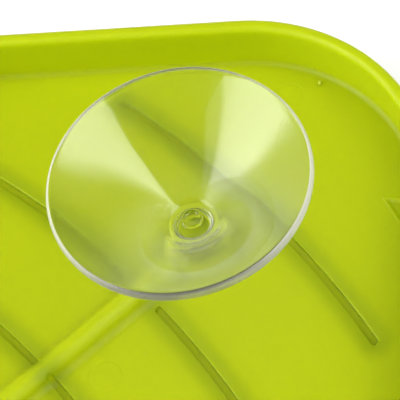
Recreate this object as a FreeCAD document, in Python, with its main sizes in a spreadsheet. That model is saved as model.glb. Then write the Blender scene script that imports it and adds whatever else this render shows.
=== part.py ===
import FreeCAD, Part
import math
import os
import Sketcher

# A leaf-shaped draining dish for a sink sponge, held by one suction cup behind its round end.
# Millimetres. X runs along the midrib to the round end and Z points out of the back. The dish
# lies on its front rim with the cup up, so Z = 0 is the rim and X = 0 is half of the length.

SIZES = {
    # Outline of the dish: round rear end, straight sides, shoulders, bowed flanks, small tip.
    "length": 140.0,
    "rear_radius": 31.8,
    "rear_half_angle": 43.5,
    "side_straight": 41.0,
    "shoulder_radius": 26.0,
    "flank_radius": 110.0,
    "tip_radius": 7.0,
    # Section of the moulding.
    "wall": 2.3,
    "panel": 2.0,
    "rim_height": 7.0,
    "skirt_depth": 9.2,
    "foot_bevel": 1.2,
    "rim_bevel": 0.7,
    # Side veins: ribs on the sponge side, hollow behind.
    "first_vein": 28.7,
    "second_vein": 51.7,
    "bare_tip": 29.2,
    "vein_radius": 165.0,
    "vein_margin": 9.0,
    "vein_gap": 3.3,
    "rib_width": 3.8,
    "rib_height": 1.8,
    "groove_width": 1.2,
    "groove_depth": 1.4,
    "groove_bevel": 0.5,
    # Midrib: a gutter on the sponge side, a ridge behind.
    "ridge_height": 2.3,
    "ridge_crest": 2.0,
    "ridge_foot": 0.6,
    "ridge_sink": 0.1,
    "gutter_width": 2.6,
    "gutter_arch": 1.5,
    "gutter_depth": 2.6,
    "gutter_setback": 7.5,
    "spout_width": 11.0,
    "spout_flare": 2.0,
    # Seat of the suction cup: a boss with a blind socket, narrower at its mouth.
    "cup_setback": 39.4,
    "boss_radius": 5.0,
    "boss_height": 2.8,
    "socket_radius": 3.5,
    "socket_floor": 1.2,
    "socket_lip": 1.3,
    "running_gap": 0.05,
    "seat_gap": 0.05,
    # Suction cup: a flared bell of even thickness, each face in two cones that meet at a knee, with
    # a low button in the middle of its flat hub.
    "lip_radius": 20.5,
    "lip_reach": 19.9,
    "lip_edge": 0.6,
    "lip_land": 0.4,
    "lip_thickness": 1.15,
    "bowl_depth": 12.6,
    "bowl_knee_radius": 10.7,
    "bowl_knee_depth": 5.95,
    "bell_knee_radius": 11.65,
    "bell_knee_depth": 7.1,
    "hub_radius": 3.7,
    "button_radius": 2.05,
    "button_height": 0.65,
    "neck_radius": 3.7,
    "neck_length": 2.75,
    "stud_radius": 2.6,
    "head_radius": 3.4,
    "head_thickness": 2.2,
    "head_bevel": 0.6,
}

VEINS_PAST_THE_SECOND = 3
FULL_TURN = 360.0
TOLERANCE = 1e-6
ACROSS = FreeCAD.Vector(0, 0, 1)


class Size:
    """A length together with the sheet formula that gives it."""

    def __init__(self, value, formula=None):
        self.value = float(value)
        self.formula = formula or repr(self.value)

    def joined(self, other, sign, value):
        return Size(value, f"({self.formula} {sign} {other.formula})")

    def __add__(self, other):
        return self.joined(other, "+", self.value + other.value)

    def __sub__(self, other):
        return self.joined(other, "-", self.value - other.value)

    def __mul__(self, other):
        return self.joined(other, "*", self.value * other.value)

    def __truediv__(self, other):
        return self.joined(other, "/", self.value / other.value)

    def __neg__(self):
        return Size(-self.value, f"(-{self.formula})")

    def root(self):
        return Size(math.sqrt(self.value), f"sqrt({self.formula})")


doc = FreeCAD.newDocument("sponge_dish")
sheet = doc.addObject("Spreadsheet::Sheet", "sizes")
for row, (alias, number) in enumerate(SIZES.items(), start=1):
    sheet.set(f"A{row}", alias)
    sheet.set(f"B{row}", str(number))
    sheet.setAlias(f"B{row}", alias)
doc.recompute()

size = {alias: Size(number, f"sizes.{alias}") for alias, number in SIZES.items()}
ZERO = Size(0)
TWO = Size(2)
half_length = size["length"] / TWO
panel_front = size["rim_height"]
panel_back = panel_front + size["panel"]
skirt_edge = panel_back + size["skirt_depth"]
cup_x = half_length - size["cup_setback"]
vein_run = size["length"] - size["second_vein"] - size["bare_tip"]
vein_pitch = vein_run / Size(VEINS_PAST_THE_SECOND)
vein_places = [size["first_vein"], size["second_vein"]]
for step in range(VEINS_PAST_THE_SECOND):
    vein_places.append(vein_places[-1] + vein_pitch)


# Sketch helpers.

def new_body(name):
    body = doc.addObject("PartDesign::Body", name)
    body.Label = name
    return body


def new_sketch(body, name, role, height=None):
    sketch = body.newObject("Sketcher::SketchObject", name)
    plane = next(item for item in body.Origin.OriginFeatures if item.Role == role)
    sketch.AttachmentSupport = [(plane, "")]
    sketch.MapMode = "FlatFace"
    if height is not None:
        sketch.setExpression("AttachmentOffset.Base.z", height.formula)
    return sketch


def bind(sketch, kind, *where, to):
    index = sketch.addConstraint(Sketcher.Constraint(kind, *where, to.value))
    sketch.setExpression(f"Constraints[{index}]", to.formula)


def place_point(sketch, geometry, end, x, y):
    origin = (-1, 1)
    for kind, axis, value in (("DistanceX", -2, x), ("DistanceY", -1, y)):
        if abs(value.value) < TOLERANCE:
            sketch.addConstraint(Sketcher.Constraint("PointOnObject", geometry, end, axis))
        else:
            bind(sketch, kind, *origin, geometry, end, to=value)


def arc(centre, radius, start, stop):
    circle = Part.Circle(FreeCAD.Vector(*centre, 0), ACROSS, radius)
    return Part.ArcOfCircle(circle, start, stop)


def arc_between(start, stop, radius, turn):
    """The smaller arc from start to stop; turn is +1 for a left turn and -1 for a right turn."""
    across, along = stop[0] - start[0], stop[1] - start[1]
    chord = math.hypot(across, along)
    rise = turn * math.sqrt(radius ** 2 - (chord / 2) ** 2) / chord
    centre = ((start[0] + stop[0]) / 2 - along * rise, (start[1] + stop[1]) / 2 + across * rise)
    first, last = (start, stop) if turn > 0 else (stop, start)
    angles = [math.atan2(point[1] - centre[1], point[0] - centre[0]) for point in (first, last)]
    if angles[1] < angles[0]:
        angles[1] += 2 * math.pi
    return arc(centre, radius, *angles)


def draw_profile(sketch, corners, arcs):
    """A closed outline through corners; arcs maps a side's number to its radius and turn."""
    ends = []
    for number, corner in enumerate(corners):
        start = (corner[0].value, corner[1].value)
        following = corners[(number + 1) % len(corners)]
        stop = (following[0].value, following[1].value)
        if number in arcs:
            radius, turn = arcs[number]
            index = sketch.addGeometry(arc_between(start, stop, radius.value, turn))
            ends.append((index, 1, 2) if turn > 0 else (index, 2, 1))
            bind(sketch, "Radius", index, to=radius)
        else:
            line = Part.LineSegment(FreeCAD.Vector(*start, 0), FreeCAD.Vector(*stop, 0))
            ends.append((sketch.addGeometry(line), 1, 2))
    for number, (index, first, last) in enumerate(ends):
        following = ends[(number + 1) % len(ends)]
        sketch.addConstraint(Sketcher.Constraint("Coincident", index, last, *following[:2]))
        place_point(sketch, index, first, *corners[number])


def pad(body, name, sketch, length, reverse=False, kind="PartDesign::Pad"):
    feature = body.newObject(kind, name)
    feature.Profile = sketch
    feature.setExpression("Length", length.formula)
    feature.Reversed = reverse
    doc.recompute()
    return feature


def pocket(body, name, sketch, depth, reverse=False):
    before = body.Shape.Volume
    feature = pad(body, name, sketch, depth, reverse, "PartDesign::Pocket")
    if body.Shape.Volume > before - TOLERANCE:
        raise RuntimeError(f"{name} cuts nothing")
    return feature


def bevel(body, name, amount, chosen):
    base = body.Tip
    names = [f"Edge{i}" for i, edge in enumerate(base.Shape.Edges, start=1) if chosen(edge)]
    feature = body.newObject("PartDesign::Chamfer", name)
    feature.Base = (base, names)
    feature.setExpression("Size", amount.formula)
    doc.recompute()
    return feature


def revolve(body, name, sketch):
    feature = body.newObject("PartDesign::Revolution", name)
    feature.Profile = sketch
    feature.ReferenceAxis = (sketch, ["V_Axis"])
    feature.Angle = FULL_TURN
    doc.recompute()
    return feature


def lies_at(edge, height):
    return all(abs(vertex.Z - height.value) < TOLERANCE for vertex in edge.Vertexes)


# Outline of the leaf, set in from the outer edge by any amount: every arc keeps its centre.

def leaf_curves(inset):
    lean = math.radians(SIZES["rear_half_angle"])
    outward = (math.sin(lean), math.cos(lean))
    rear = (half_length.value - SIZES["rear_radius"], 0.0)
    tip = (SIZES["tip_radius"] - half_length.value, 0.0)
    rear_radius, shoulder_radius, flank_radius, tip_radius = (
        SIZES[f"{name}_radius"] - inset for name in ("rear", "shoulder", "flank", "tip"))

    straight = SIZES["side_straight"]
    side_start = (rear[0] + rear_radius * outward[0], rear_radius * outward[1])
    side_stop = (side_start[0] - straight * outward[1], side_start[1] + straight * outward[0])
    shoulder = (side_stop[0] - shoulder_radius * outward[0],
                side_stop[1] - shoulder_radius * outward[1])

    # The flank's centre lies where its arc touches both the shoulder and the tip from outside.
    to_tip = (tip[0] - shoulder[0], tip[1] - shoulder[1])
    apart = math.hypot(*to_tip)
    shoulder_reach, tip_reach = flank_radius - shoulder_radius, flank_radius - tip_radius
    along = (shoulder_reach ** 2 - tip_reach ** 2 + apart ** 2) / (2 * apart)
    aside = math.sqrt(shoulder_reach ** 2 - along ** 2)
    flank = (shoulder[0] + (along * to_tip[0] - aside * to_tip[1]) / apart,
             shoulder[1] + (along * to_tip[1] + aside * to_tip[0]) / apart)

    rear_turn = math.pi / 2 - lean
    shoulder_turn = math.atan2(shoulder[1] - flank[1], shoulder[0] - flank[0])
    tip_turn = math.atan2(tip[1] - flank[1], tip[0] - flank[0])
    whole = 2 * math.pi

    def line(start, stop):
        return Part.LineSegment(FreeCAD.Vector(*start, 0), FreeCAD.Vector(*stop, 0))

    def below(point):
        return (point[0], -point[1])

    return [
        arc(rear, rear_radius, -rear_turn, rear_turn),
        line(side_start, side_stop),
        arc(shoulder, shoulder_radius, rear_turn, shoulder_turn),
        arc(flank, flank_radius, shoulder_turn, tip_turn),
        arc(tip, tip_radius, tip_turn, whole - tip_turn),
        arc(below(flank), flank_radius, whole - tip_turn, whole - shoulder_turn),
        arc(below(shoulder), shoulder_radius, whole - shoulder_turn, whole - rear_turn),
        line(below(side_stop), below(side_start)),
    ]


def leaf_sketch(body, name, height, inset):
    sketch = new_sketch(body, name, "XY_Plane", height)
    curves = leaf_curves(inset.value)
    sketch.addGeometry(curves, False)
    for number in range(len(curves)):
        following = (number + 1) % len(curves)
        sketch.addConstraint(Sketcher.Constraint("Tangent", number, 2, following, 1))
    rear, side, shoulder, flank, tip, lower_flank, lower_shoulder, lower_side = range(len(curves))
    place_point(sketch, rear, 3, half_length - size["rear_radius"], ZERO)
    place_point(sketch, tip, 3, size["tip_radius"] - half_length, ZERO)
    for curve, radius in ((rear, "rear"), (shoulder, "shoulder"), (flank, "flank"), (tip, "tip")):
        bind(sketch, "Radius", curve, to=size[f"{radius}_radius"] - inset)
    sketch.addConstraint(Sketcher.Constraint("Equal", flank, lower_flank))
    sketch.addConstraint(Sketcher.Constraint("Equal", shoulder, lower_shoulder))
    sketch.addConstraint(Sketcher.Constraint("Equal", side, lower_side))
    bind(sketch, "Distance", side, to=size["side_straight"])
    lean = SIZES["rear_half_angle"]
    for curve, degrees, formula in (
            (side, FULL_TURN / 2 - lean, f"{FULL_TURN / 2} deg - sizes.rear_half_angle * 1 deg"),
            (lower_side, lean, "sizes.rear_half_angle * 1 deg")):
        index = sketch.addConstraint(Sketcher.Constraint("Angle", curve, math.radians(degrees)))
        sketch.setExpression(f"Constraints[{index}]", formula)
    return sketch


# Side veins: slots along one arc, repeated along the midrib and parted by it after the first.

def vein_reach(place):
    """How far from the midrib a vein runs before it comes too near the outer edge."""
    edge = Part.Wire([curve.toShape() for curve in leaf_curves(0.0)])
    middle = half_length.value - place.value - SIZES["vein_radius"]
    near, far = 0.0, SIZES["vein_radius"]
    while far - near > TOLERANCE:
        aside = (near + far) / 2
        point = FreeCAD.Vector(middle + math.sqrt(SIZES["vein_radius"] ** 2 - aside ** 2), aside, 0)
        room = Part.Vertex(point).distToShape(edge)[0]
        if Part.Face(edge).isInside(point, TOLERANCE, True) and room > SIZES["vein_margin"]:
            near = aside
        else:
            far = aside
    return Size(near)


def add_slot(sketch, place, width, low, high):
    """One slot with round ends, along the vein's arc from low to high across the midrib."""
    half = width / TWO
    middle = half_length - place - size["vein_radius"]
    radii = (size["vein_radius"] + half, size["vein_radius"] - half)
    turns = [math.asin(end.value / SIZES["vein_radius"]) for end in (low, high)]
    centres = [(middle.value + SIZES["vein_radius"] * math.cos(turn), end.value)
               for turn, end in zip(turns, (low, high))]
    outer = sketch.addGeometry(arc((middle.value, 0.0), radii[0].value, *turns))
    inner = sketch.addGeometry(arc((middle.value, 0.0), radii[1].value, *turns))
    top = sketch.addGeometry(arc(centres[1], half.value, turns[1], turns[1] + math.pi))
    foot = sketch.addGeometry(arc(centres[0], half.value, turns[0] - math.pi, turns[0]))
    for first, first_end, second, second_end in (
            (outer, 2, top, 1), (top, 2, inner, 2), (inner, 1, foot, 1), (foot, 2, outer, 1)):
        sketch.addConstraint(
            Sketcher.Constraint("Tangent", first, first_end, second, second_end))
    place_point(sketch, outer, 3, middle, ZERO)
    sketch.addConstraint(Sketcher.Constraint("Coincident", outer, 3, inner, 3))
    bind(sketch, "Radius", outer, to=radii[0])
    bind(sketch, "Radius", inner, to=radii[1])
    for cap, end in ((top, high), (foot, low)):
        bind(sketch, "DistanceY", -1, 1, cap, 3, to=end)


def vein_sketch(body, name, height, width):
    sketch = new_sketch(body, name, "XY_Plane", height)
    for number, place in enumerate(vein_places):
        reach = vein_reach(place)
        if number == 0:
            add_slot(sketch, place, width, -reach, reach)
        else:
            add_slot(sketch, place, width, size["vein_gap"], reach)
            add_slot(sketch, place, width, -reach, -size["vein_gap"])
    return sketch


def on_vein_edge(edge, height, width):
    half = width.value / 2
    radii = (SIZES["vein_radius"] + half, SIZES["vein_radius"] - half, half)
    return (lies_at(edge, height) and isinstance(edge.Curve, Part.Circle)
            and any(abs(edge.Curve.Radius - radius) < TOLERANCE for radius in radii))


# The dish.

def make_dish():
    body = new_body("dish")

    # Walled leaf: a full-height blank, hollowed from the back and from the front.
    pad(body, "blank", leaf_sketch(body, "blank_outline", ZERO, ZERO), skirt_edge)
    pocket(body, "back_hollow", leaf_sketch(body, "back_outline", skirt_edge, size["wall"]),
           size["skirt_depth"])
    pocket(body, "front_hollow", leaf_sketch(body, "front_outline", ZERO, size["wall"]),
           size["rim_height"], reverse=True)
    bevel(body, "wall_feet", size["foot_bevel"],
          lambda edge: lies_at(edge, panel_front) or lies_at(edge, panel_back))
    bevel(body, "rim_edges", size["rim_bevel"],
          lambda edge: lies_at(edge, ZERO) or lies_at(edge, skirt_edge))

    # Veins: ribs that carry the sponge, cored out behind to keep the wall even.
    pad(body, "ribs", vein_sketch(body, "rib_slots", panel_front, size["rib_width"]),
        size["rib_height"], reverse=True)
    pocket(body, "grooves", vein_sketch(body, "groove_slots", panel_back, size["groove_width"]),
           size["groove_depth"])
    bevel(body, "groove_mouths", size["groove_bevel"],
          lambda edge: on_vein_edge(edge, panel_back, size["groove_width"]))

    # Midrib: a rounded ridge with soft feet, from the cup's boss into the wall at the tip.
    crest, foot = size["ridge_crest"], size["ridge_foot"]
    crest_middle = panel_back + size["ridge_height"] - crest
    foot_middle = panel_back + foot - size["ridge_sink"]
    lift = foot_middle - crest_middle
    span = crest + foot
    spread = (span * span - lift * lift).root()
    shared_x = spread * crest / span
    shared_z = crest_middle + lift * crest / span
    low = panel_back - size["panel"] / TWO
    ridge = new_sketch(body, "ridge_section", "YZ_Plane", cup_x)
    draw_profile(
        ridge,
        [(-spread, low), (spread, low), (spread, foot_middle - foot), (shared_x, shared_z),
         (-shared_x, shared_z), (-spread, foot_middle - foot)],
        {2: (foot, -1), 3: (crest, 1), 4: (foot, -1)})
    to_tip_wall = cup_x + half_length - size["wall"] / TWO
    pad(body, "ridge", ridge, to_tip_wall, reverse=True)

    # Boss for the cup, a little higher than the ridge that runs into it.
    boss = new_sketch(body, "boss_outline", "XY_Plane", low)
    circle = boss.addGeometry(Part.Circle(FreeCAD.Vector(cup_x.value, 0, 0), ACROSS,
                                          SIZES["boss_radius"]))
    place_point(boss, circle, 3, cup_x, ZERO)
    bind(boss, "Radius", circle, to=size["boss_radius"])
    pad(body, "boss", boss, panel_back + size["boss_height"] - low)

    # Gutter along the midrib, open to the spout at the tip.
    half_gutter = size["gutter_width"] / TWO
    gutter_top = panel_front + size["gutter_depth"]
    arch = size["gutter_arch"]
    spring = gutter_top - arch + (arch * arch - half_gutter * half_gutter).root()
    mouth = panel_front - size["panel"] / TWO
    gutter_start = cup_x - size["gutter_setback"]
    gutter = new_sketch(body, "gutter_section", "YZ_Plane", gutter_start)
    draw_profile(
        gutter,
        [(-half_gutter, mouth), (half_gutter, mouth), (half_gutter, spring),
         (-half_gutter, spring)],
        {2: (arch, 1)})
    pocket(body, "gutter", gutter, gutter_start + half_length)

    # Spout: the front rim is open at the tip, wider at its edge than at the panel.
    half_spout = size["spout_width"] / TWO
    half_mouth = half_spout + size["spout_flare"]
    spout = new_sketch(body, "spout_section", "YZ_Plane", -half_length - size["wall"])
    draw_profile(
        spout,
        [(-half_mouth, ZERO), (half_mouth, ZERO), (half_spout, panel_front),
         (-half_spout, panel_front)],
        {})
    pocket(body, "spout", spout, size["wall"] + size["tip_radius"], reverse=True)

    # Socket for the head of the cup, closed in front, under a narrower hole for its stud.
    boss_top = panel_back + size["boss_height"]
    ceiling = boss_top - size["socket_lip"]
    for name, height, radius, depth in (
            ("stud_hole", boss_top, size["stud_radius"] + size["running_gap"], size["socket_lip"]),
            ("head_socket", ceiling, size["socket_radius"],
             ceiling - panel_front - size["socket_floor"])):
        outline = new_sketch(body, f"{name}_outline", "XY_Plane", height)
        circle = outline.addGeometry(
            Part.Circle(FreeCAD.Vector(cup_x.value, 0, 0), ACROSS, radius.value))
        place_point(outline, circle, 3, cup_x, ZERO)
        bind(outline, "Radius", circle, to=radius)
        pocket(body, name, outline, depth)
    return body


# The suction cup, about its own axis, with the back of the panel at height 0.

def make_suction_cup():
    body = new_body("suction_cup")
    lip = size["lip_reach"]
    neck_foot = size["boss_height"] + size["seat_gap"]
    neck_top = neck_foot + size["neck_length"]
    head_top = size["boss_height"] - size["socket_lip"] - size["seat_gap"]
    head_low = head_top - size["head_thickness"]
    hub_face = lip - size["bowl_depth"]
    land_edge = size["lip_radius"] - size["lip_edge"]
    section = new_sketch(body, "cup_section", "XZ_Plane")
    draw_profile(
        section,
        [(ZERO, head_low),
         (size["head_radius"] - size["head_bevel"], head_low),
         (size["head_radius"], head_low + size["head_bevel"]),
         (size["head_radius"], head_top),
         (size["stud_radius"], head_top),
         (size["stud_radius"], neck_foot),
         (size["neck_radius"], neck_foot),
         (size["neck_radius"], neck_top),
         (size["bell_knee_radius"], lip - size["bell_knee_depth"]),
         (size["lip_radius"], lip - size["lip_thickness"]),
         (land_edge, lip),
         (land_edge - size["lip_land"], lip),
         (size["bowl_knee_radius"], lip - size["bowl_knee_depth"]),
         (size["hub_radius"], hub_face),
         (size["button_radius"], hub_face),
         (size["button_radius"], hub_face + size["button_height"]),
         (ZERO, hub_face + size["button_height"])],
        {})
    revolve(body, "bell", section)
    body.setExpression("Placement.Base.x", cup_x.formula)
    body.setExpression("Placement.Base.z", panel_back.formula)
    return body


bodies = [make_dish(), make_suction_cup()]
doc.recompute()

for item in doc.Objects:
    if "Invalid" in item.State or "Error" in item.State:
        raise RuntimeError(f"{item.Name} failed: {item.State}")
for body in bodies:
    if body.Shape.isNull() or not body.Shape.isValid():
        raise RuntimeError(f"{body.Label} has no valid shape")

os.makedirs("parts", exist_ok=True)
for body in bodies:
    body.Shape.exportStep(f"parts/{body.Label}.step")
    box = body.Shape.BoundBox
    print(f"{body.Label}: {len(body.Shape.Solids)} solid, {body.Shape.Volume:.1f} mm3,",
          f"x {box.XMin:.2f} to {box.XMax:.2f}, y {box.YMin:.2f} to {box.YMax:.2f},",
          f"z {box.ZMin:.2f} to {box.ZMax:.2f}")
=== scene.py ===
import math

import bpy
import numpy as np
from mathutils import Matrix, Vector
from mathutils.geometry import delaunay_2d_cdt


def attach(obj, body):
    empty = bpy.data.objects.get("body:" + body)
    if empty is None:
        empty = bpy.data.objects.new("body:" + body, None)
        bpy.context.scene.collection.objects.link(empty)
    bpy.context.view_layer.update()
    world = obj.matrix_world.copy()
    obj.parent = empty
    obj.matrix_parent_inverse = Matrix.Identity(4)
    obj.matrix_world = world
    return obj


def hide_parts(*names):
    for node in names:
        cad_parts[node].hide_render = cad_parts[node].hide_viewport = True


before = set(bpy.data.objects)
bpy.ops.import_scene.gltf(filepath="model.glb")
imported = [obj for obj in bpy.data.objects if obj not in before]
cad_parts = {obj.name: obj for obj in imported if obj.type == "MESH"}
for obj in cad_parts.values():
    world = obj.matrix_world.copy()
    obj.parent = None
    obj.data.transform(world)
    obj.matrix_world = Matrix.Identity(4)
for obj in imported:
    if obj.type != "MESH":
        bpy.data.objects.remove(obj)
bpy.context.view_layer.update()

# The dish: one injection moulding in lime-green polypropylene, a leaf-shaped panel with a skirt
# behind it and a rim in front. Its side veins are ribs on the sponge side, cored out behind, and
# its midrib is a drain gutter that shows behind as a ridge, from the boss for the cup to the tip.

MM = 0.001
HALF_LENGTH = 70.0
REAR_RADIUS = 31.8
REAR_LEAN = math.radians(43.5)
SIDE_STRAIGHT = 41.0
SIDE_POINTS = 40
SHOULDER_RADIUS = 26.0
FLANK_RADIUS = 110.0
TIP_RADIUS = 7.0
ROUND_STEP = 0.8
FLANK_STEP = 1.0
TIP_STEP = 0.4
WALL = 2.3
PANEL_FRONT = 7.0
PANEL_BACK = 9.0
SKIRT_EDGE = 18.2


def arc_points(centre, radius, start, stop, step):
    turns = np.linspace(start, stop, max(3, math.ceil(radius * abs(stop - start) / step)))
    normals = np.stack([np.cos(turns), np.sin(turns)], axis=1)
    return np.array(centre) + radius * normals, normals


def leaf_edge():
    """Points and outward normals all round the outer edge, from the middle of the rear end."""
    outward = np.array([math.sin(REAR_LEAN), math.cos(REAR_LEAN)])
    along = np.array([-outward[1], outward[0]])
    rear = np.array([HALF_LENGTH - REAR_RADIUS, 0.0])
    tip = np.array([TIP_RADIUS - HALF_LENGTH, 0.0])
    side_start = rear + REAR_RADIUS * outward
    side_stop = side_start + SIDE_STRAIGHT * along
    shoulder = side_stop - SHOULDER_RADIUS * outward

    # The flank's arc touches the shoulder's and the tip's from outside.
    to_tip = tip - shoulder
    apart = math.hypot(*to_tip)
    to_shoulder, to_nose = FLANK_RADIUS - SHOULDER_RADIUS, FLANK_RADIUS - TIP_RADIUS
    ahead = (to_shoulder ** 2 - to_nose ** 2 + apart ** 2) / (2 * apart)
    aside = math.sqrt(to_shoulder ** 2 - ahead ** 2)
    flank = shoulder + (ahead * to_tip + aside * np.array([-to_tip[1], to_tip[0]])) / apart

    rear_turn = math.pi / 2 - REAR_LEAN
    shoulder_turn = math.atan2(shoulder[1] - flank[1], shoulder[0] - flank[0])
    tip_turn = math.atan2(tip[1] - flank[1], tip[0] - flank[0])
    shares = np.linspace(0, 1, SIDE_POINTS)[:, None]
    runs = [
        arc_points(rear, REAR_RADIUS, 0, rear_turn, ROUND_STEP),
        (side_start + shares * (side_stop - side_start), np.tile(outward, (SIDE_POINTS, 1))),
        arc_points(shoulder, SHOULDER_RADIUS, rear_turn, shoulder_turn, ROUND_STEP),
        arc_points(flank, FLANK_RADIUS, shoulder_turn, tip_turn, FLANK_STEP),
        arc_points(tip, TIP_RADIUS, tip_turn, math.pi, TIP_STEP),
    ]
    points = np.concatenate([run[0][:-1] for run in runs] + [runs[-1][0][-1:]])
    normals = np.concatenate([run[1][:-1] for run in runs] + [runs[-1][1][-1:]])
    mirror = np.array([1.0, -1.0])
    return (np.concatenate([points, points[-2:0:-1] * mirror]),
            np.concatenate([normals, normals[-2:0:-1] * mirror]))


edge_points, edge_normals = leaf_edge()


def depth_in_leaf(x, y):
    """How far a point lies inside the outer edge; the leaf is convex."""
    reach = np.full(np.shape(x), -np.inf)
    for point, normal in zip(edge_points, edge_normals):
        reach = np.maximum(reach, (x - point[0]) * normal[0] + (y - point[1]) * normal[1])
    return -reach


def ease(share):
    share = np.clip(share, 0.0, 1.0)
    return share * share * (3 - 2 * share)


# Veins: arcs across the leaf. The first runs from side to side, past the cup, and the midrib
# parts the others, which keep their gaps from it.
CUP_X = 30.6
VEIN_RADIUS = 165.0
VEIN_MARGIN = 9.0
VEIN_PLACES = [41.3, 18.3, -1.4, -21.1, -40.8]
VEIN_GAPS = [0.0, 4.4, 2.0, 3.3, 3.3]
FIRST_LONGER = 0.9
FIRST_SHORTER = 1.7
REACH_TRIED = 60.0
REACH_TRIES = 6001


def vein_bow(y):
    return VEIN_RADIUS - np.sqrt(VEIN_RADIUS ** 2 - np.square(y))


def vein_reach(place):
    """How far a vein runs from the midrib before it comes too near the outer edge."""
    across = np.linspace(0.0, REACH_TRIED, REACH_TRIES)
    clear = depth_in_leaf(place - vein_bow(across), across) > VEIN_MARGIN
    return across[np.argmin(clear) - 1]


veins = []
for place, gap in zip(VEIN_PLACES, VEIN_GAPS):
    reach = vein_reach(place)
    if gap == 0:
        veins.append((place, -reach - FIRST_LONGER, reach - FIRST_SHORTER))
    else:
        veins.append((place, gap, reach))
        veins.append((place, -reach, -gap))


def vein_distance(x, y):
    """Distance to the middle line of the nearest vein, which ends in half circles."""
    nearest = np.full(np.shape(x), np.inf)
    for place, low, high in veins:
        middle = place - VEIN_RADIUS
        turn = np.clip(np.arctan2(y, x - middle),
                       math.asin(low / VEIN_RADIUS), math.asin(high / VEIN_RADIUS))
        away = np.hypot(x - middle - VEIN_RADIUS * np.cos(turn), y - VEIN_RADIUS * np.sin(turn))
        nearest = np.minimum(nearest, away)
    return nearest


# Section of the ridge: a round crest, its middle a little above the panel, between hollow feet.
RIDGE_CREST = 2.0
RIDGE_RISE = 0.3
RIDGE_FOOT = 1.5
RIDGE_SPREAD = math.sqrt((RIDGE_CREST + RIDGE_FOOT) ** 2 - (RIDGE_FOOT - RIDGE_RISE) ** 2)
RIDGE_SHARE = RIDGE_SPREAD * RIDGE_CREST / (RIDGE_CREST + RIDGE_FOOT)


def ridge_height(y):
    aside = np.abs(y)
    crest = RIDGE_RISE + np.sqrt(np.maximum(RIDGE_CREST ** 2 - aside ** 2, 0.0))
    to_foot = np.clip(RIDGE_SPREAD - aside, 0.0, RIDGE_FOOT)
    foot = RIDGE_FOOT - np.sqrt(RIDGE_FOOT ** 2 - to_foot ** 2)
    return np.where(aside < RIDGE_SHARE, crest, foot)


# Back of the panel: each vein is a groove in a soft hollow, where the thick rib in front has sunk.
# Two rings are left by the ejector pins, and a shallow three-cornered recess has a raised border.
GROOVE_DEPTH = 0.6
GROOVE_FLOOR = 0.56
GROOVE_MOUTH = 0.64
SINK_DEPTH = 0.2
SINK_REACH = 2.4
PIN_MARKS = [(59.3, 10.8, 2.2), (5.0, -7.4, 2.6)]
PIN_RING_DEPTH = 0.055
PIN_RING_HALF = 0.35
NOTCH_CORNERS = [(56.45, -14.9), (54.55, -22.2), (61.6, -21.9)]
NOTCH_DEPTH = 0.3
NOTCH_SLOPE = 0.7
NOTCH_BORDER = 0.1
NOTCH_BORDER_OUT = 0.05
NOTCH_BORDER_HALF = 0.26


def inside_notch(x, y):
    """Depth inside the plain three-cornered recess near the rear end."""
    depth = np.full(np.shape(x), np.inf)
    for (ax, ay), (bx, by) in zip(NOTCH_CORNERS, NOTCH_CORNERS[1:] + NOTCH_CORNERS[:1]):
        length = math.hypot(bx - ax, by - ay)
        depth = np.minimum(depth, ((bx - ax) * (y - ay) - (by - ay) * (x - ax)) / length)
    return depth


def back_height(x, y):
    away = vein_distance(x, y)
    height = PANEL_BACK - SINK_DEPTH * (1 - ease(away / SINK_REACH))
    into_groove = (GROOVE_MOUTH - away) / (GROOVE_MOUTH - GROOVE_FLOOR)
    height = height - GROOVE_DEPTH * np.clip(into_groove, 0.0, 1.0)
    height = np.where(x < CUP_X, height + ridge_height(y), height)
    for pin_x, pin_y, pin_radius in PIN_MARKS:
        from_ring = np.abs(np.hypot(x - pin_x, y - pin_y) - pin_radius)
        height = height - PIN_RING_DEPTH * (1 - ease(from_ring / PIN_RING_HALF))
    inside = inside_notch(x, y)
    border = 1 - ease(np.abs(inside + NOTCH_BORDER_OUT) / NOTCH_BORDER_HALF)
    return height - NOTCH_DEPTH * ease(inside / NOTCH_SLOPE) + NOTCH_BORDER * border


# Front of the panel: a rib on each vein, and the gutter along the midrib.
RIB_HEIGHT = 1.8
RIB_TOP = 0.9
RIB_FOOT = 2.2
GUTTER_DEPTH = 2.5
GUTTER_FLOOR = 0.7
GUTTER_MOUTH = 1.55
GUTTER_START = 23.1
GUTTER_RUN_IN = 0.8


def gutter_depth(x, y):
    across = 1 - ease((np.abs(y) - GUTTER_FLOOR) / (GUTTER_MOUTH - GUTTER_FLOOR))
    return GUTTER_DEPTH * across * ease((GUTTER_START - x) / GUTTER_RUN_IN)


def front_height(x, y):
    away = vein_distance(x, y)
    height = PANEL_FRONT - RIB_HEIGHT * (1 - ease((away - RIB_TOP) / (RIB_FOOT - RIB_TOP)))
    return height + gutter_depth(x, y)


CLOSEST_LINES = 0.06


def graded(low, high, coarse, spots):
    """Lines from low to high: fine ones at the spots (place, reach, step), coarse ones between."""
    fine = [np.arange(place - reach, place + reach + step / 2, step) for place, reach, step in spots]
    lines = np.unique(np.round(np.concatenate([[low, high], *fine]), 3))
    lines = lines[(lines >= low) & (lines <= high)]
    keep = [lines[0]]
    for line in lines[1:]:
        if line - keep[-1] > CLOSEST_LINES:
            keep.append(line)
    filled = []
    for first, second in zip(keep, keep[1:]):
        gaps = max(1, math.ceil((second - first) / coarse))
        filled.extend(np.linspace(first, second, gaps + 1)[:-1])
    return np.array(filled + [keep[-1]])


def spokes(columns):
    """Unit vectors, evenly spaced round a full turn."""
    turns = np.linspace(0, 2 * math.pi, columns, endpoint=False)
    return np.stack([np.cos(turns), np.sin(turns)], axis=1)


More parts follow.
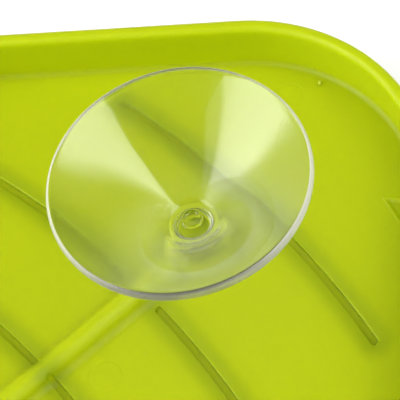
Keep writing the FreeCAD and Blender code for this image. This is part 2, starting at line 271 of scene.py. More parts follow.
# The net of a face keeps room from a loop inside the wall's rounded foot and from one round the boss.
FOOT = 1.05
SEAM = 0.4
ROOM = 0.6
LOOP_DEPTH = WALL + FOOT + SEAM
BOSS_RADIUS = 5.0
BOSS_TOP = 11.8
BOSS_FOOT = 0.5
SEAT_COLUMNS = 144
SAME_POINT = 1e-7


def panel_face(height, vein_lines, cross_lines, seat_radius=None):
    """One face of the panel: quads along the veins, stitched to a loop at the wall and, behind,
    to one round the boss. Gives its points, its faces and the numbers of both loops' points."""
    lines, y = np.meshgrid(vein_lines, cross_lines, indexing="ij")
    x = lines - vein_bow(y)
    free = depth_in_leaf(x, y) > LOOP_DEPTH + ROOM
    seat_loop = np.empty((0, 2))
    if seat_radius:
        free &= np.hypot(x - CUP_X, y) > seat_radius + ROOM
        seat_loop = np.array([CUP_X, 0]) + seat_radius * spokes(SEAT_COLUMNS)
    cells = free[:-1, :-1] & free[1:, :-1] & free[:-1, 1:] & free[1:, 1:]
    numbers = np.arange(x.size).reshape(x.shape)
    quads = np.stack([numbers[:-1, :-1][cells], numbers[1:, :-1][cells],
                      numbers[1:, 1:][cells], numbers[:-1, 1:][cells]], axis=1)
    used, quads = np.unique(quads, return_inverse=True)
    quads = quads.reshape(-1, 4)
    net = np.stack([x.ravel()[used], y.ravel()[used]], axis=1)

    sides = np.concatenate([quads[:, [k, (k + 1) % 4]] for k in range(4)])
    sides, counts = np.unique(np.sort(sides, axis=1), axis=0, return_counts=True)
    border = sides[counts == 1]

    wall_loop = edge_points - edge_normals * LOOP_DEPTH
    wall_numbers = len(net) + np.arange(len(wall_loop))
    seat_numbers = len(net) + len(wall_loop) + np.arange(len(seat_loop))
    flat = np.concatenate([net, wall_loop, seat_loop])

    rim = np.unique(border)
    outer = np.concatenate([rim, wall_numbers, seat_numbers])
    place_of = {number: place for place, number in enumerate(outer.tolist())}
    ties = [(place_of[a], place_of[b]) for a, b in border.tolist()]
    for loop in (wall_numbers, seat_numbers):
        ties += [(place_of[a], place_of[b])
                 for a, b in zip(loop.tolist(), np.roll(loop, -1).tolist())]
    corners = [Vector(flat[number]) for number in outer]
    stitched = delaunay_2d_cdt(corners, ties, [], 1, SAME_POINT)
    back_to = [int(outer[source[0]]) for source in stitched[3]]
    triangles = [[back_to[corner] for corner in face] for face in stitched[2]]

    # What fills the strip is reached from the two loops without crossing the border of the net.
    fence = {tuple(side) for side in border.tolist()}
    on_side = {}
    for number, face in enumerate(triangles):
        for side in zip(face, face[1:] + face[:1]):
            on_side.setdefault(tuple(sorted(side)), []).append(number)
    in_seat = set(seat_numbers.tolist())
    on_loop = in_seat.union(wall_numbers.tolist())
    waiting = [number for number, face in enumerate(triangles)
               if on_loop.intersection(face) and not in_seat.issuperset(face)]
    filling = set(waiting)
    while waiting:
        face = triangles[waiting.pop()]
        for side in zip(face, face[1:] + face[:1]):
            side = tuple(sorted(side))
            if side in fence:
                continue
            for number in on_side[side]:
                if number not in filling and not in_seat.issuperset(triangles[number]):
                    filling.add(number)
                    waiting.append(number)
    faces = quads.tolist() + [triangles[number] for number in sorted(filling)]
    points = np.column_stack([flat, height(flat[:, 0], flat[:, 1])])
    return points, faces, wall_numbers, seat_numbers


# Spots where the nets' lines are close, as (place, reach, step) or the last two: the grooves' edges
# and hollows, the ridge, the gutter, the veins' ends and the marks.
LINE_ENDS = (-70, 80)
CROSS_ENDS = (-60, 60)
COARSE_LINES = 2.5
COARSE_CROSSES = 2.2
FINE = 0.2
GROOVE_EDGES = (GROOVE_FLOOR, GROOVE_MOUTH, GROOVE_MOUTH + 0.1)
GROOVE_ENDS = (1.5, FINE)
SINK_LINES = (3.6, 0.4)
RIDGE_CROSSES = [(2.15, 0.55, 0.07), (-2.15, 0.55, 0.07), (0, 3.6, FINE)]
PIN_BOW = 0.2
PIN_LINES = (3.0, FINE)
NOTCH_LINES = (58.0, 4.6, FINE)
NOTCH_CROSSES = (-18.5, 4.8, FINE)
RIB_LINES = (2.4, FINE)
RIB_ENDS = (2.4, 0.4)
GUTTER_LINES = (GUTTER_START, 1.2, FINE)
GUTTER_CROSSES = (0, 2.0, 0.12)
vein_ends = sorted({round(end, 2) for vein in veins for end in vein[1:]})
back_lines = graded(
    *LINE_ENDS, COARSE_LINES,
    [(place + side * edge, 0.0, FINE)
     for place in VEIN_PLACES for side in (-1, 1) for edge in GROOVE_EDGES]
    + [(place, *SINK_LINES) for place in VEIN_PLACES]
    + [(pin[0] + PIN_BOW, *PIN_LINES) for pin in PIN_MARKS] + [NOTCH_LINES])
back_crosses = graded(
    *CROSS_ENDS, COARSE_CROSSES,
    RIDGE_CROSSES + [(end, *GROOVE_ENDS) for end in vein_ends]
    + [(pin[1], *PIN_LINES) for pin in PIN_MARKS] + [NOTCH_CROSSES])
front_lines = graded(
    *LINE_ENDS, COARSE_LINES, [(place, *RIB_LINES) for place in VEIN_PLACES] + [GUTTER_LINES])
front_crosses = graded(
    *CROSS_ENDS, COARSE_CROSSES, [(end, *RIB_ENDS) for end in vein_ends] + [GUTTER_CROSSES])

back_points, back_faces, back_wall, back_seat = panel_face(
    back_height, back_lines, back_crosses, BOSS_RADIUS + BOSS_FOOT + SEAM)
front_points, front_faces, front_wall, _ = panel_face(front_height, front_lines, front_crosses)
dish_rows = [back_points, front_points]
dish_faces = back_faces + [[number + len(back_points) for number in reversed(face)]
                           for face in front_faces]
count = len(back_points) + len(front_points)


def rounding(centre, radius, start, stop, steps):
    """A corner of a section, in degrees, without its first point."""
    turns = np.radians(np.linspace(start, stop, steps + 1)[1:])
    return [(centre[0] + radius * math.cos(turn), centre[1] + radius * math.sin(turn))
            for turn in turns]


# Section of the wall as (depth inside the outer edge, height), from the back of the panel over
# the skirt's edge, down the outside, round the front rim and up to the front of the panel.
RIM_ROUND = 0.95
SKIRT_STEPS = 7
FRONT_STEPS = 6
FOOT_STEPS = 8
INSIDE_LEVELS = (12.5, 14.5, 16.5)
OUTSIDE_LEVELS = (16.0, 13.0, 10.0, 7.0, 4.0)
RIM_LEVEL = 3.0
inner_side = [(WALL + FOOT, PANEL_BACK)]
inner_side += rounding((WALL + FOOT, PANEL_BACK + FOOT), FOOT, 270, 180, FOOT_STEPS)
inner_side += [(WALL, height) for height in INSIDE_LEVELS]
inner_side += rounding((WALL - RIM_ROUND, SKIRT_EDGE - RIM_ROUND), RIM_ROUND, 0, 90, SKIRT_STEPS)
outer_side = [(RIM_ROUND, SKIRT_EDGE)]
outer_side += rounding((RIM_ROUND, SKIRT_EDGE - RIM_ROUND), RIM_ROUND, 90, 180, SKIRT_STEPS)
outer_side += [(0.0, height) for height in OUTSIDE_LEVELS]
front_side = [(0.0, RIM_ROUND)]
front_side += rounding((RIM_ROUND, RIM_ROUND), RIM_ROUND, 180, 270, FRONT_STEPS)
front_side += [(WALL - RIM_ROUND, 0.0)]
front_side += rounding((WALL - RIM_ROUND, RIM_ROUND), RIM_ROUND, 270, 360, FRONT_STEPS)
front_side += [(WALL, RIM_LEVEL), (WALL, PANEL_FRONT - FOOT)]
front_side += rounding((WALL + FOOT, PANEL_FRONT - FOOT), FOOT, 180, 90, FOOT_STEPS)

# The front rim is open at the tip for the spout, and the gutter runs out through it.
SPOUT_HALF = 5.2
SPOUT_FLARE = 2.8
steps = np.hypot(*(np.roll(edge_points, -1, axis=0) - edge_points).T)
travel = np.concatenate([[0.0], np.cumsum(steps)[:-1]])
tip_column = int(np.argmin(edge_points[:, 0]))
rim_share = ease((np.abs(travel - travel[tip_column]) - SPOUT_HALF) / SPOUT_FLARE)
ridge_here = np.where(edge_points[:, 0] < 0, ridge_height(back_points[back_wall, 1]), 0.0)


def add_band(faces, first, second, inward):
    """Quads between two closed rows of points."""
    one, two = first.tolist(), second.tolist()
    for a, b, c, d in zip(one, one[1:] + one[:1], two[1:] + two[:1], two):
        faces.append([a, b, c, d] if inward else [a, d, c, b])


row = back_wall
for side, section in (("inner", inner_side), ("outer", outer_side), ("front", front_side)):
    for depth, height in section:
        flat = edge_points - edge_normals * depth
        level = np.full(len(flat), height)
        if side == "inner":
            level = level + ridge_here * (SKIRT_EDGE - height) / (SKIRT_EDGE - PANEL_BACK)
        elif height < PANEL_FRONT:
            open_level = PANEL_FRONT + gutter_depth(*flat.T)
            level = np.where(rim_share < 1, open_level + (height - open_level) * rim_share, level)
        following = count + np.arange(len(flat))
        dish_rows.append(np.column_stack([flat, level]))
        count += len(flat)
        add_band(dish_faces, row, following, False)
        row = following
add_band(dish_faces, row, front_wall + len(back_points), False)

# Seat of the cup: a boss with a blind socket, narrower at its mouth, that holds the cup's head.
HOLE_RADIUS = 2.65
SOCKET_RADIUS = 3.5
SOCKET_CEILING = 10.5
SOCKET_FLOOR = 8.2
BOSS_ROUND = 0.4
MOUTH_ROUND = 0.3
CEILING_EASE = 0.1
FLOOR_EASE = 0.2
seat_section = [(BOSS_RADIUS + BOSS_FOOT, PANEL_BACK)]
seat_section += rounding((BOSS_RADIUS + BOSS_FOOT, PANEL_BACK + BOSS_FOOT), BOSS_FOOT, 270, 180, 5)
seat_section += [(BOSS_RADIUS, BOSS_TOP - BOSS_ROUND)]
seat_section += rounding((BOSS_RADIUS - BOSS_ROUND, BOSS_TOP - BOSS_ROUND), BOSS_ROUND, 0, 90, 5)
seat_section += [(HOLE_RADIUS + MOUTH_ROUND, BOSS_TOP)]
seat_section += rounding((HOLE_RADIUS + MOUTH_ROUND, BOSS_TOP - MOUTH_ROUND), MOUTH_ROUND, 90, 180, 3)
seat_section += [(HOLE_RADIUS, SOCKET_CEILING + CEILING_EASE),
                 (HOLE_RADIUS + CEILING_EASE, SOCKET_CEILING),
                 (SOCKET_RADIUS - CEILING_EASE, SOCKET_CEILING),
                 (SOCKET_RADIUS, SOCKET_CEILING - CEILING_EASE),
                 (SOCKET_RADIUS, SOCKET_FLOOR + FLOOR_EASE), (SOCKET_RADIUS - FLOOR_EASE, SOCKET_FLOOR)]
seat_base = back_points[back_seat, 2] - PANEL_BACK
row = back_seat
for radius, height in seat_section:
    level = np.full(SEAT_COLUMNS, height)
    if radius > BOSS_RADIUS - BOSS_ROUND:
        level = level + seat_base * (BOSS_TOP - height) / (BOSS_TOP - PANEL_BACK)
    following = count + np.arange(SEAT_COLUMNS)
    dish_rows.append(np.column_stack([np.array([CUP_X, 0]) + radius * spokes(SEAT_COLUMNS), level]))
    count += SEAT_COLUMNS
    add_band(dish_faces, row, following, True)
    row = following
dish_rows.append(np.array([[CUP_X, 0, SOCKET_FLOOR]]))
for a, b in zip(row.tolist(), np.roll(row, -1).tolist()):
    dish_faces.append([count, a, b])
count += 1

# Stub of the gate that the melt came in by, twisted off, standing in the panel at the rear wall:
# rings as (share of its radius, height over the panel).
GATE = (64.36, 8.89)
GATE_RADIUS = 0.3
GATE_COLUMNS = 16
GATE_RINGS = ((0.9, -0.4), (1.0, 0.1), (0.85, 0.3), (0.55, 0.48), (0.2, 0.42))
row = None
gate_start = len(dish_faces)
for share, height in GATE_RINGS:
    ring = np.array(GATE) + spokes(GATE_COLUMNS) * share * GATE_RADIUS
    dish_rows.append(np.column_stack([ring, np.full(GATE_COLUMNS, PANEL_BACK + height)]))
    following = count + np.arange(GATE_COLUMNS)
    count += GATE_COLUMNS
    if row is None:
        dish_faces.append(following[::-1].tolist())
    else:
        add_band(dish_faces, row, following, True)
    row = following
dish_faces.append(row.tolist())

# Painted shade in and beside the grooves, for the light that the thick moulding behind a rib holds back
# and for the shade inside each groove: a shade that fades out from each groove, and inside the groove
# (within this distance, shade) for its wall and the two parts of its floor.
SHADE_CORE = 0.5
SHADE_REACH = 4.4
SINK_SHADE = 0.61
GROOVE_SHADES = ((GROOVE_MOUTH + 0.03, 0.78), (GROOVE_FLOOR + 0.03, 0.5), (GROOVE_FLOOR - 0.05, 0.22))
dish_points = np.concatenate(dish_rows)
from_vein = vein_distance(*dish_points[:, :2].T)
painted_groove_shade = SINK_SHADE * (1 - ease((from_vein - SHADE_CORE) / (SHADE_REACH - SHADE_CORE)))
for within, darkness in GROOVE_SHADES:
    painted_groove_shade[from_vein < within] = darkness
painted_groove_shade[len(back_points):] = 0.0


def new_piece(name, points, faces):
    mesh = bpy.data.meshes.new(name)
    mesh.from_pydata((np.asarray(points) * MM).tolist(), [], faces)
    mesh.polygons.foreach_set("use_smooth", [True] * len(mesh.polygons))
    mesh.update()
    piece = bpy.data.objects.new(name, mesh)
    bpy.context.scene.collection.objects.link(piece)
    return piece


def linear(hex_code):
    """An sRGB hex value as linear colour."""
    shares = [int(hex_code[place:place + 2], 16) / 255 for place in (1, 3, 5)]
    return (*[s / 12.92 if s <= 0.04045 else ((s + 0.055) / 1.055) ** 2.4 for s in shares], 1.0)


def add_node(material, kind, settings=None, inputs=None, links=None):
    """A node with its settings, its input values and its links from (node, socket)."""
    tree = material.node_tree
    node = tree.nodes.new(kind)
    for name, value in (settings or {}).items():
        setattr(node, name, value)
    for name, value in (inputs or {}).items():
        node.inputs[name].default_value = value
    for name, (source, socket) in (links or {}).items():
        tree.links.new(source.outputs[socket], node.inputs[name])
    return node


def new_material(name):
    material = bpy.data.materials.new(name)
    material.use_nodes = True
    material.node_tree.nodes.clear()
    return material


# Lime polypropylene, injection moulded in a smooth mould: a clean, softly glossy face with a waxy
# depth, faint cloudiness from the flow of the melt and very fine handling marks, which are drawn
# coarser than they are so that they show. The two colours and the result of a Mix have numbers.
FLOW_MM = 38.0
GRAIN_MM = 0.9
COLOUR_A, COLOUR_B, MIXED = 6, 7, 2
lime_pp = new_material("lime_polypropylene_moulded")
on_dish = add_node(lime_pp, "ShaderNodeTexCoord")
flow = add_node(lime_pp, "ShaderNodeTexNoise",
                inputs={"Scale": 1000 / FLOW_MM, "Detail": 2.0, "Roughness": 0.4},
                links={"Vector": (on_dish, "Object")})
tint = add_node(lime_pp, "ShaderNodeMix", {"data_type": "RGBA"},
                {COLOUR_A: linear("#B4C200"), COLOUR_B: linear("#B8C603")},
                {"Factor": (flow, "Fac")})
# Painted groove shade, stored on the dish's points: it darkens the lime toward #7E9200.
painted_shade_node = add_node(lime_pp, "ShaderNodeAttribute", {"attribute_name": "painted_groove_shade"})
lime = add_node(lime_pp, "ShaderNodeMix", {"data_type": "RGBA"}, {COLOUR_B: linear("#7E9200")},
                {"Factor": (painted_shade_node, "Fac"), COLOUR_A: (tint, MIXED)})
grain = add_node(lime_pp, "ShaderNodeTexNoise",
                 inputs={"Scale": 1000 / GRAIN_MM, "Detail": 3.0, "Roughness": 0.55},
                 links={"Vector": (on_dish, "Object")})
gloss = add_node(lime_pp, "ShaderNodeMapRange",
                 inputs={"From Min": 0.3, "From Max": 0.7, "To Min": 0.4, "To Max": 0.48},
                 links={"Value": (grain, "Fac")})
skin = add_node(lime_pp, "ShaderNodeBump", inputs={"Strength": 0.05, "Distance": 0.00005},
                links={"Height": (grain, "Fac")})
pp_shader = add_node(lime_pp, "ShaderNodeBsdfPrincipled",
                     inputs={"IOR": 1.49, "Specular IOR Level": 0.3, "Subsurface Weight": 1.0,
                             "Subsurface Radius": (0.9, 1.0, 0.1), "Subsurface Scale": 0.004},
                     links={"Base Color": (lime, MIXED), "Roughness": (gloss, "Result"),
                            "Normal": (skin, "Normal")})
add_node(lime_pp, "ShaderNodeOutputMaterial", links={"Surface": (pp_shader, "BSDF")})

# The same polypropylene where the gate was twisted off: torn, and whitened by the stress.
torn_pp = new_material("lime_polypropylene_torn_gate")
torn_shader = add_node(torn_pp, "ShaderNodeBsdfPrincipled",
                       inputs={"Base Color": linear("#D6E44A"), "IOR": 1.49, "Roughness": 0.4})
add_node(torn_pp, "ShaderNodeOutputMaterial", links={"Surface": (torn_shader, "BSDF")})

SHARP_EDGE = math.radians(40)
leaf_dish = new_piece("leaf_dish", dish_points, dish_faces)
leaf_dish.data.set_sharp_from_angle(angle=SHARP_EDGE)
leaf_dish.data.attributes.new("painted_groove_shade", "FLOAT", "POINT").data.foreach_set("value", painted_groove_shade)
leaf_dish.data.materials.append(lime_pp)
leaf_dish.data.materials.append(torn_pp)
torn_faces = len(dish_faces) - gate_start
leaf_dish.data.polygons.foreach_set("material_index", [0] * gate_start + [1] * torn_faces)
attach(leaf_dish, "dish")
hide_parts("dish")

# The suction cup: one moulding in clear soft PVC, a thin-lipped bell that thickens toward a dimpled
# hub. Its stud goes into the boss of the dish, and the mushroom head on the stud sits in the socket
# there, which keeps the cup on the dish and leaves it free to turn.

HEAD_LOW = 8.25
HEAD_TOP = 10.45
HEAD_RADIUS = 3.4
HEAD_ROUND = 0.7
SHOULDER_ROUND = 0.3
STUD_RADIUS = 2.6
STUD_EASE = 0.1
NECK_FOOT = 11.85
NECK_RADIUS = 2.95
NECK_ROUND = 0.3
NECK_TOP = 13.1
NECK_FLARE = [(0.0, 0.0), (0.04, 0.3), (0.17, 0.6), (0.41, 0.9)]
HUB_WALL = 2.0
WALL_TAPER = 0.7
BELL_FROM_NECK = 1.2
BELL_FROM_LIP = 0.35
LIP_RADIUS = 20.46
LIP_BACK = 27.75
LIP_FACE = 28.9
LIP_ROUND = 0.5
LIP_STRAIGHT = 0.2
LIP_POINTS = 10
TRIM_IN = 0.12
TRIM_DOWN = 0.17
LAND_INNER = 19.85
LAND_EDGE = [(0.06, 0.01), (-0.03, 0.04)]
BOWL_FOOT = 3.8
BOWL_LOW = 16.7
BOWL_FROM_LAND = 0.12
BOWL_POINTS = 36
HUB_FACE = 16.3
HUB_FLAT = 2.2
HUB_ROUND = 4.0
HUB_POINTS = 7
BUTTON_RADIUS = 1.65
BUTTON_TOP = 16.95
BUTTON_ROUND = 0.2
BUTTON_FOOT = [(0.15, 0.0), (0.06, 0.06), (0.01, 0.2)]
DIMPLE_RADIUS = 1.3
DIMPLE_DEPTH = 0.3
DIMPLE_SHARES = [0.98, 0.9, 0.8, 0.65, 0.5, 0.35, 0.2]
FLARE = 1.0
FLARE_PULL = 0.85
CUP_COLUMNS = 288


def bowl_height(radius):
    """Height of the inside of the bell, steeper at the hub than at the lip."""
    share = np.clip((radius - BOWL_FOOT) / (LAND_INNER - BOWL_FOOT), 0.0, 1.0)
    pulled = share ** FLARE_PULL
    return BOWL_LOW + (LIP_FACE - BOWL_LOW) * share + 4 * FLARE * pulled * (1 - pulled)


# The wall thins from the hub to the lip, and the slant of its back veils what lies behind it.
bowl_radii = np.linspace(HUB_ROUND, LAND_INNER - BOWL_FROM_LAND, BOWL_POINTS)
bowl = np.column_stack([bowl_radii, bowl_height(bowl_radii)])
slopes = np.gradient(bowl[:, 1], bowl[:, 0])
outward = np.column_stack([slopes, -np.ones(BOWL_POINTS)]) / np.hypot(slopes, 1)[:, None]
toward_lip = ((bowl_radii - BOWL_FOOT) / (LAND_INNER - BOWL_FOOT))[:, None]
bell = bowl + (HUB_WALL - WALL_TAPER * toward_lip) * outward
bell = bell[(bell[:, 0] > NECK_RADIUS + BELL_FROM_NECK) & (bell[:, 0] < LIP_RADIUS - BELL_FROM_LIP)]

# From the hub's flat the inside turns up into the bell on one smooth curve.
hub_span = HUB_ROUND - HUB_FLAT
shares = np.linspace(0, 1, HUB_POINTS + 1)[:-1]
hub_curve = np.column_stack([
    HUB_FLAT + hub_span * shares,
    HUB_FACE + (bowl[0, 1] - HUB_FACE) * (3 * shares ** 2 - 2 * shares ** 3)
    + slopes[0] * hub_span * (shares ** 3 - shares ** 2)])

# Section of the cup as (radius, height): head, stud, neck, back of the bell, lip, bowl and button.
section = [(HEAD_RADIUS - HEAD_ROUND, HEAD_LOW)]
section += rounding((HEAD_RADIUS - HEAD_ROUND, HEAD_LOW + HEAD_ROUND), HEAD_ROUND, 270, 360, 6)
section += rounding((HEAD_RADIUS - SHOULDER_ROUND, HEAD_TOP - SHOULDER_ROUND), SHOULDER_ROUND, 0, 90, 4)
section += [(STUD_RADIUS + STUD_EASE, HEAD_TOP), (STUD_RADIUS, HEAD_TOP + STUD_EASE),
            (STUD_RADIUS, NECK_FOOT - STUD_EASE), (STUD_RADIUS + STUD_EASE, NECK_FOOT)]
socket_stop = len(section) - 1
section += [(NECK_RADIUS - NECK_ROUND, NECK_FOOT)]
section += rounding((NECK_RADIUS - NECK_ROUND, NECK_FOOT + NECK_ROUND), NECK_ROUND, 270, 360, 4)
section += [(NECK_RADIUS + out, NECK_TOP + up) for out, up in NECK_FLARE]
section += [tuple(point) for point in bell]
section += [(LIP_RADIUS - TRIM_IN, LIP_BACK - TRIM_DOWN)]
trim_start = len(section) - 1
section += [(LIP_RADIUS, LIP_BACK)]
lip_rise = LIP_FACE - LIP_BACK - LIP_STRAIGHT
section += [(LIP_RADIUS - LIP_ROUND * (1 - math.cos(turn)),
             LIP_BACK + LIP_STRAIGHT + lip_rise * math.sin(turn))
            for turn in np.linspace(0, math.pi / 2, LIP_POINTS)]
section += [(LAND_INNER + out, LIP_FACE - down) for out, down in LAND_EDGE]
trim_stop = len(section) - 2
section += [tuple(point) for point in bowl[::-1]]
section += [tuple(point) for point in hub_curve[::-1]]
section += [(BUTTON_RADIUS + out, HUB_FACE + up) for out, up in BUTTON_FOOT]
section += [(BUTTON_RADIUS, BUTTON_TOP - BUTTON_ROUND)]
section += rounding((BUTTON_RADIUS - BUTTON_ROUND, BUTTON_TOP - BUTTON_ROUND), BUTTON_ROUND, 0, 90, 4)
section += [(DIMPLE_RADIUS * share, BUTTON_TOP - DIMPLE_DEPTH * (1 - share ** 2))
            for share in DIMPLE_SHARES]

# The section is turned round the axis, and the soft lip droops a little in slow waves: (waves in a
# full turn, their share of the droop, the turn that they start with).
DROOP = 0.1
DROOP_START = 12.0
DROOP_WAVES = ((2, 0.32, 0.6), (3, 0.18, 2.1))
turns = np.linspace(0, 2 * math.pi, CUP_COLUMNS, endpoint=False)
droop = 0.5 + sum(share * np.cos(waves * turns + start) for waves, share, start in DROOP_WAVES)
cup_rows = []
for radius, height in section:
    level = height - DROOP * ease((radius - DROOP_START) / (LIP_RADIUS - DROOP_START)) * droop
    cup_rows.append(np.column_stack([CUP_X + radius * np.cos(turns), radius * np.sin(turns), level]))
cup_rows.append(np.array([[CUP_X, 0, HEAD_LOW], [CUP_X, 0, BUTTON_TOP - DIMPLE_DEPTH]]))
numbers = np.arange(len(section) * CUP_COLUMNS).reshape(len(section), CUP_COLUMNS)
cup_faces = []
for first, second in zip(numbers, numbers[1:]):
    add_band(cup_faces, first, second, True)
bottom, top = numbers.size, numbers.size + 1
for a, b in zip(numbers[0].tolist(), np.roll(numbers[0], -1).tolist()):
    cup_faces.append([bottom, b, a])
for a, b in zip(numbers[-1].tolist(), np.roll(numbers[-1], -1).tolist()):
    cup_faces.append([top, a, b])

# Clear plasticised PVC: glassy with a faint bloom on the polished sealing face, and satin on the back
# of the bell, which blurs what lies behind it. Both waver, and both let light through to the dish.
WAVER_MM = 9.0


def let_light_through(material, shader, passed):
    """Ends a clear material: as its shader to the eye, and passing a share of the light."""
    path = add_node(material, "ShaderNodeLightPath")
    lighting = add_node(material, "ShaderNodeMath", {"operation": "MAXIMUM"},
                        links={0: (path, "Is Shadow Ray"), 1: (path, "Is Diffuse Ray")})
    passing = add_node(material, "ShaderNodeBsdfTransparent", inputs={"Color": linear(passed)})
    look = add_node(material, "ShaderNodeMixShader",
                    links={0: (lighting, 0), 1: (shader, "BSDF"), 2: (passing, "BSDF")})
    add_node(material, "ShaderNodeOutputMaterial", links={"Surface": (look, "Shader")})


def clear_moulding(name, least_haze, most_haze, bloom):
    material = new_material(name)
    on_cup = add_node(material, "ShaderNodeTexCoord")
    waver = add_node(material, "ShaderNodeTexNoise",
                     inputs={"Scale": 1000 / WAVER_MM, "Detail": 1.0, "Roughness": 0.4},
                     links={"Vector": (on_cup, "Object")})
    haze = add_node(material, "ShaderNodeMapRange",
                    inputs={"From Min": 0.3, "From Max": 0.7,
                            "To Min": least_haze, "To Max": most_haze},
                    links={"Value": (waver, "Fac")})
    ripple = add_node(material, "ShaderNodeBump", inputs={"Strength": 0.25, "Distance": 0.0002},
                      links={"Height": (waver, "Fac")})
    shader = add_node(material, "ShaderNodeBsdfPrincipled",
                      inputs={"Base Color": linear("#FBFCF8"), "IOR": 1.5, "Transmission Weight": 1.0,
                              "Sheen Weight": bloom, "Sheen Roughness": 0.4,
                              "Sheen Tint": linear("#DADAD2")},
                      links={"Roughness": (haze, "Result"), "Normal": (ripple, "Normal")})
    let_light_through(material, shader, "#FBFCF9")
    return material


clear_pvc = clear_moulding("clear_pvc_polished", 0.02, 0.06, 0.65)
satin_pvc = clear_moulding("clear_pvc_satin", 0.13, 0.17, 0.0)

# The same PVC where the lip was trimmed: a cut that is greyish and fairly clear, with painted light on
# two opposite sides of the lip, where the cut is drawn whiter and less clear.
cut_pvc = new_material("clear_pvc_trimmed_edge")
painted_lip_light_node = add_node(cut_pvc, "ShaderNodeAttribute", {"attribute_name": "painted_lip_light"})
cut_tone = add_node(cut_pvc, "ShaderNodeMix", {"data_type": "RGBA"},
                    {COLOUR_A: linear("#C9C7BE"), COLOUR_B: linear("#E9EAD2")},
                    {"Factor": (painted_lip_light_node, "Fac")})
cut_clear = add_node(cut_pvc, "ShaderNodeMapRange", inputs={"To Min": 0.8, "To Max": 0.15},
                     links={"Value": (painted_lip_light_node, "Fac")})
cut_shader = add_node(cut_pvc, "ShaderNodeBsdfPrincipled", inputs={"IOR": 1.5, "Roughness": 0.2},
                      links={"Base Color": (cut_tone, MIXED),
                             "Transmission Weight": (cut_clear, "Result")})
let_light_through(cut_pvc, cut_shader, "#E8E8E4")

# The same PVC where it is squeezed into the socket: no air between, so the lime shows in it.
seated_pvc = new_material("clear_pvc_seated_on_lime")
seated_shader = add_node(seated_pvc, "ShaderNodeBsdfPrincipled",
                         inputs={"Base Color": linear("#D2DE2C"), "IOR": 1.5, "Roughness": 0.5,
                                 "Specular IOR Level": 0.0})
add_node(seated_pvc, "ShaderNodeOutputMaterial", links={"Surface": (seated_shader, "BSDF")})

# The turn of the lip where the painted light is strongest; it is as strong on the opposite side.
PAINTED_LIGHT_SIDE = math.radians(-40.5)
POLISHED, TRIMMED, SEATED, SATIN = range(4)
clear_cup = new_piece("clear_cup", np.concatenate(cup_rows), cup_faces)
for material in (clear_pvc, cut_pvc, seated_pvc, satin_pvc):
    clear_cup.data.materials.append(material)
# Share of painted light at each point round the lip.
painted_lip_light_shares = np.append(np.tile(np.cos(turns - PAINTED_LIGHT_SIDE) ** 2, len(section)), [0.0, 0.0])
clear_cup.data.attributes.new("painted_lip_light", "FLOAT", "POINT").data.foreach_set("value", painted_lip_light_shares)
bands = np.repeat(np.arange(len(section) - 1), CUP_COLUMNS)
bands = np.concatenate([bands, np.full(CUP_COLUMNS, 0), np.full(CUP_COLUMNS, len(section))])
surfaces = np.select([bands < socket_stop, bands < trim_start, bands < trim_stop],
                     [SEATED, SATIN, TRIMMED], POLISHED)
clear_cup.data.polygons.foreach_set("material_index", surfaces)
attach(clear_cup, "suction_cup")
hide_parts("suction_cup")

# The studio: a pale floor that the dish lies on face down, a white surround that darkens overhead,
# a tall window-like softbox beside the round end, one beyond the left side, and a dim card in front
# that fills the shadows and stays out of reflections.

FLOOR_HALF = 3.0
floor_mesh = bpy.data.meshes.new("studio_floor")
floor_mesh.from_pydata([(-FLOOR_HALF, -FLOOR_HALF, 0), (FLOOR_HALF, -FLOOR_HALF, 0),
                        (FLOOR_HALF, FLOOR_HALF, 0), (-FLOOR_HALF, FLOOR_HALF, 0)], [], [(0, 1, 2, 3)])
studio_floor = bpy.data.objects.new("studio_floor", floor_mesh)
bpy.context.scene.collection.objects.link(studio_floor)


def share_of_sight(material):
    """1 for rays of the camera, of reflections and through clear pieces, 0 for lighting rays."""
    path = add_node(material, "ShaderNodeLightPath")
    direct = add_node(material, "ShaderNodeMath", {"operation": "MAXIMUM"},
                      links={0: (path, "Is Camera Ray"), 1: (path, "Is Glossy Ray")})
    return add_node(material, "ShaderNodeMath", {"operation": "MAXIMUM"},
                    links={0: (direct, 0), 1: (path, "Is Transmission Ray")})


# Matt white paper, lifted to white where it is seen, going off into shade beyond the round end.
SHADED_SIDE = (0.996, 0.087, 0.0)
PAPER_GLOW = 0.32
white_paper = new_material("white_paper_matt")
on_paper = add_node(white_paper, "ShaderNodeTexCoord")
beyond = add_node(white_paper, "ShaderNodeVectorMath", {"operation": "DOT_PRODUCT"},
                  {1: SHADED_SIDE}, {0: (on_paper, "Object")})
paper_shade = add_node(white_paper, "ShaderNodeMapRange", {"interpolation_type": "SMOOTHSTEP"},
                       {"From Min": 0.12, "From Max": 0.32, "To Min": 1.0, "To Max": 0.4},
                       {"Value": (beyond, "Value")})
paper_glow = add_node(white_paper, "ShaderNodeMath", {"operation": "MULTIPLY"}, {1: PAPER_GLOW},
                      {0: (paper_shade, "Result")})
lift = add_node(white_paper, "ShaderNodeMath", {"operation": "MULTIPLY"},
                links={0: (share_of_sight(white_paper), 0), 1: (paper_glow, 0)})
paper_tone = add_node(white_paper, "ShaderNodeMix", {"data_type": "RGBA"},
                      {COLOUR_A: linear("#000000"), COLOUR_B: linear("#E6E6E6")},
                      {"Factor": (paper_shade, "Result")})
paper = add_node(white_paper, "ShaderNodeBsdfDiffuse", links={"Color": (paper_tone, MIXED)})
glow = add_node(white_paper, "ShaderNodeEmission", links={"Strength": (lift, 0)})
both = add_node(white_paper, "ShaderNodeAddShader", links={0: (paper, 0), 1: (glow, 0)})
add_node(white_paper, "ShaderNodeOutputMaterial", links={"Surface": (both, 0)})
floor_mesh.materials.append(white_paper)

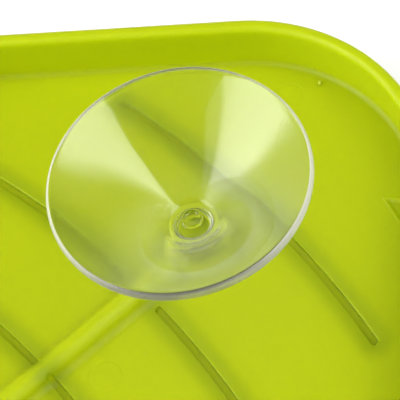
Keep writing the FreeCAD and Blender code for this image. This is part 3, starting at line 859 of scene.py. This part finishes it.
# The surround is seen white near the horizon, darker overhead and on the shaded side, and lights
# the dish evenly from all round.
SURROUND_LIGHT = 0.35
OVERHEAD = 0.12
world = bpy.data.worlds.new("studio_surround")
bpy.context.scene.world = world
world.use_nodes = True
world.node_tree.nodes.clear()
toward = add_node(world, "ShaderNodeTexCoord")
parts = add_node(world, "ShaderNodeSeparateXYZ", links={"Vector": (toward, "Generated")})
tone = add_node(world, "ShaderNodeMapRange",
                inputs={"From Min": 0.1, "From Max": 0.75, "To Min": 1.0, "To Max": OVERHEAD},
                links={"Value": (parts, "Z")})
facing = add_node(world, "ShaderNodeVectorMath", {"operation": "DOT_PRODUCT"},
                  {1: SHADED_SIDE}, {0: (toward, "Generated")})
shaded = add_node(world, "ShaderNodeMapRange", {"interpolation_type": "SMOOTHSTEP"},
                  {"From Min": 0.4, "From Max": 0.9, "To Min": 1.0, "To Max": 0.2},
                  {"Value": (facing, "Value")})
seen = add_node(world, "ShaderNodeMath", {"operation": "MULTIPLY"},
                links={0: (tone, "Result"), 1: (shaded, "Result")})
strength = add_node(world, "ShaderNodeMapRange", inputs={"To Min": SURROUND_LIGHT},
                    links={"Value": (share_of_sight(world), 0), "To Max": (seen, 0)})
surround = add_node(world, "ShaderNodeBackground", links={"Strength": (strength, "Result")})
add_node(world, "ShaderNodeOutputWorld", links={"Surface": (surround, "Background")})
world.cycles.sampling_method = "NONE"

# Each box has a corner, its two sides, its radiance and, along each side, the borders toward which
# it glows less: (share where it is full, share of the border, glow left there).
for name, corner, across, up, radiance, borders in (
        ("softbox_right", (0.63, -1.66, 0.4), (0, 1.62, 0), (0, 0, 2.8), 4.0,
         {"X": [(0.1, 0.0, 0.0), (0.9, 1.0, 0.0)], "Y": [(0.13, 0.0, 0.0)]}),
        ("softbox_left", (-0.92, 1.77, 0.02), (-1.56, -2.14, 0), (0, 0, 3.2), 4.4,
         {"X": [(0.2, 0.02, 0.0), (0.63, 0.74, 0.2)], "Y": [(0.22, 0.03, 0.15)]}),
        ("fill_card", (-1.35, -0.95, 0.3), (1.2, -0.7, 0), (0, 0, 1.4), 1.75, {})):
    across, up = Vector(across), Vector(up)
    lamp = bpy.data.lights.new(name, "AREA")
    lamp.shape = "RECTANGLE"
    lamp.size, lamp.size_y = across.length, up.length
    lamp.energy = radiance * math.pi * across.length * up.length
    lamp.use_nodes = True
    lamp.node_tree.nodes.clear()
    on_box = add_node(lamp, "ShaderNodeNewGeometry")
    along = add_node(lamp, "ShaderNodeSeparateXYZ", links={"Vector": (on_box, "Parametric")})
    faded = None
    for axis, fades in borders.items():
        for full, border, least in fades:
            fade = add_node(lamp, "ShaderNodeMapRange", {"interpolation_type": "SMOOTHSTEP"},
                            {"From Min": border, "From Max": full, "To Min": least, "To Max": 1.0},
                            {"Value": (along, axis)})
            if faded:
                fade = add_node(lamp, "ShaderNodeMath", {"operation": "MULTIPLY"},
                                links={0: (faded, 0), 1: (fade, 0)})
            faded = fade
    emission = add_node(lamp, "ShaderNodeEmission", inputs={"Strength": 1.0},
                        links={"Strength": (faded, 0)} if faded else None)
    add_node(lamp, "ShaderNodeOutputLight", links={"Surface": (emission, "Emission")})
    softbox = bpy.data.objects.new(name, lamp)
    ahead = across.cross(up).normalized()
    softbox.matrix_world = Matrix.Translation(Vector(corner) + (across + up) / 2) @ Matrix(
        (across.normalized(), up.normalized(), ahead)).transposed().to_4x4()
    softbox.visible_glossy = softbox.visible_transmission = name != "fill_card"
    bpy.context.scene.collection.objects.link(softbox)

# The camera: looking down on the back of the round end from beside the tip, with a long lens. Its
# place is in millimetres.

CAMERA_PLACE = Vector((-35.04, -147.09, 266.88))
CAMERA_RIGHT = Vector((0.7513, -0.6371, -0.1724))
CAMERA_DOWN = Vector((-0.6187, -0.5889, -0.5200))
CAMERA_AHEAD = Vector((0.2297, 0.4973, -0.8366))
camera_data = bpy.data.cameras.new("camera")
camera_data.sensor_width = 36.0
camera_data.lens = 172.7
camera = bpy.data.objects.new("camera", camera_data)
camera.matrix_world = Matrix.Translation(CAMERA_PLACE * MM) @ Matrix(
    (CAMERA_RIGHT, -CAMERA_DOWN, -CAMERA_AHEAD)).transposed().to_4x4()
bpy.context.scene.collection.objects.link(camera)
bpy.context.scene.camera = camera
bpy.context.scene.view_settings.view_transform = "Standard"
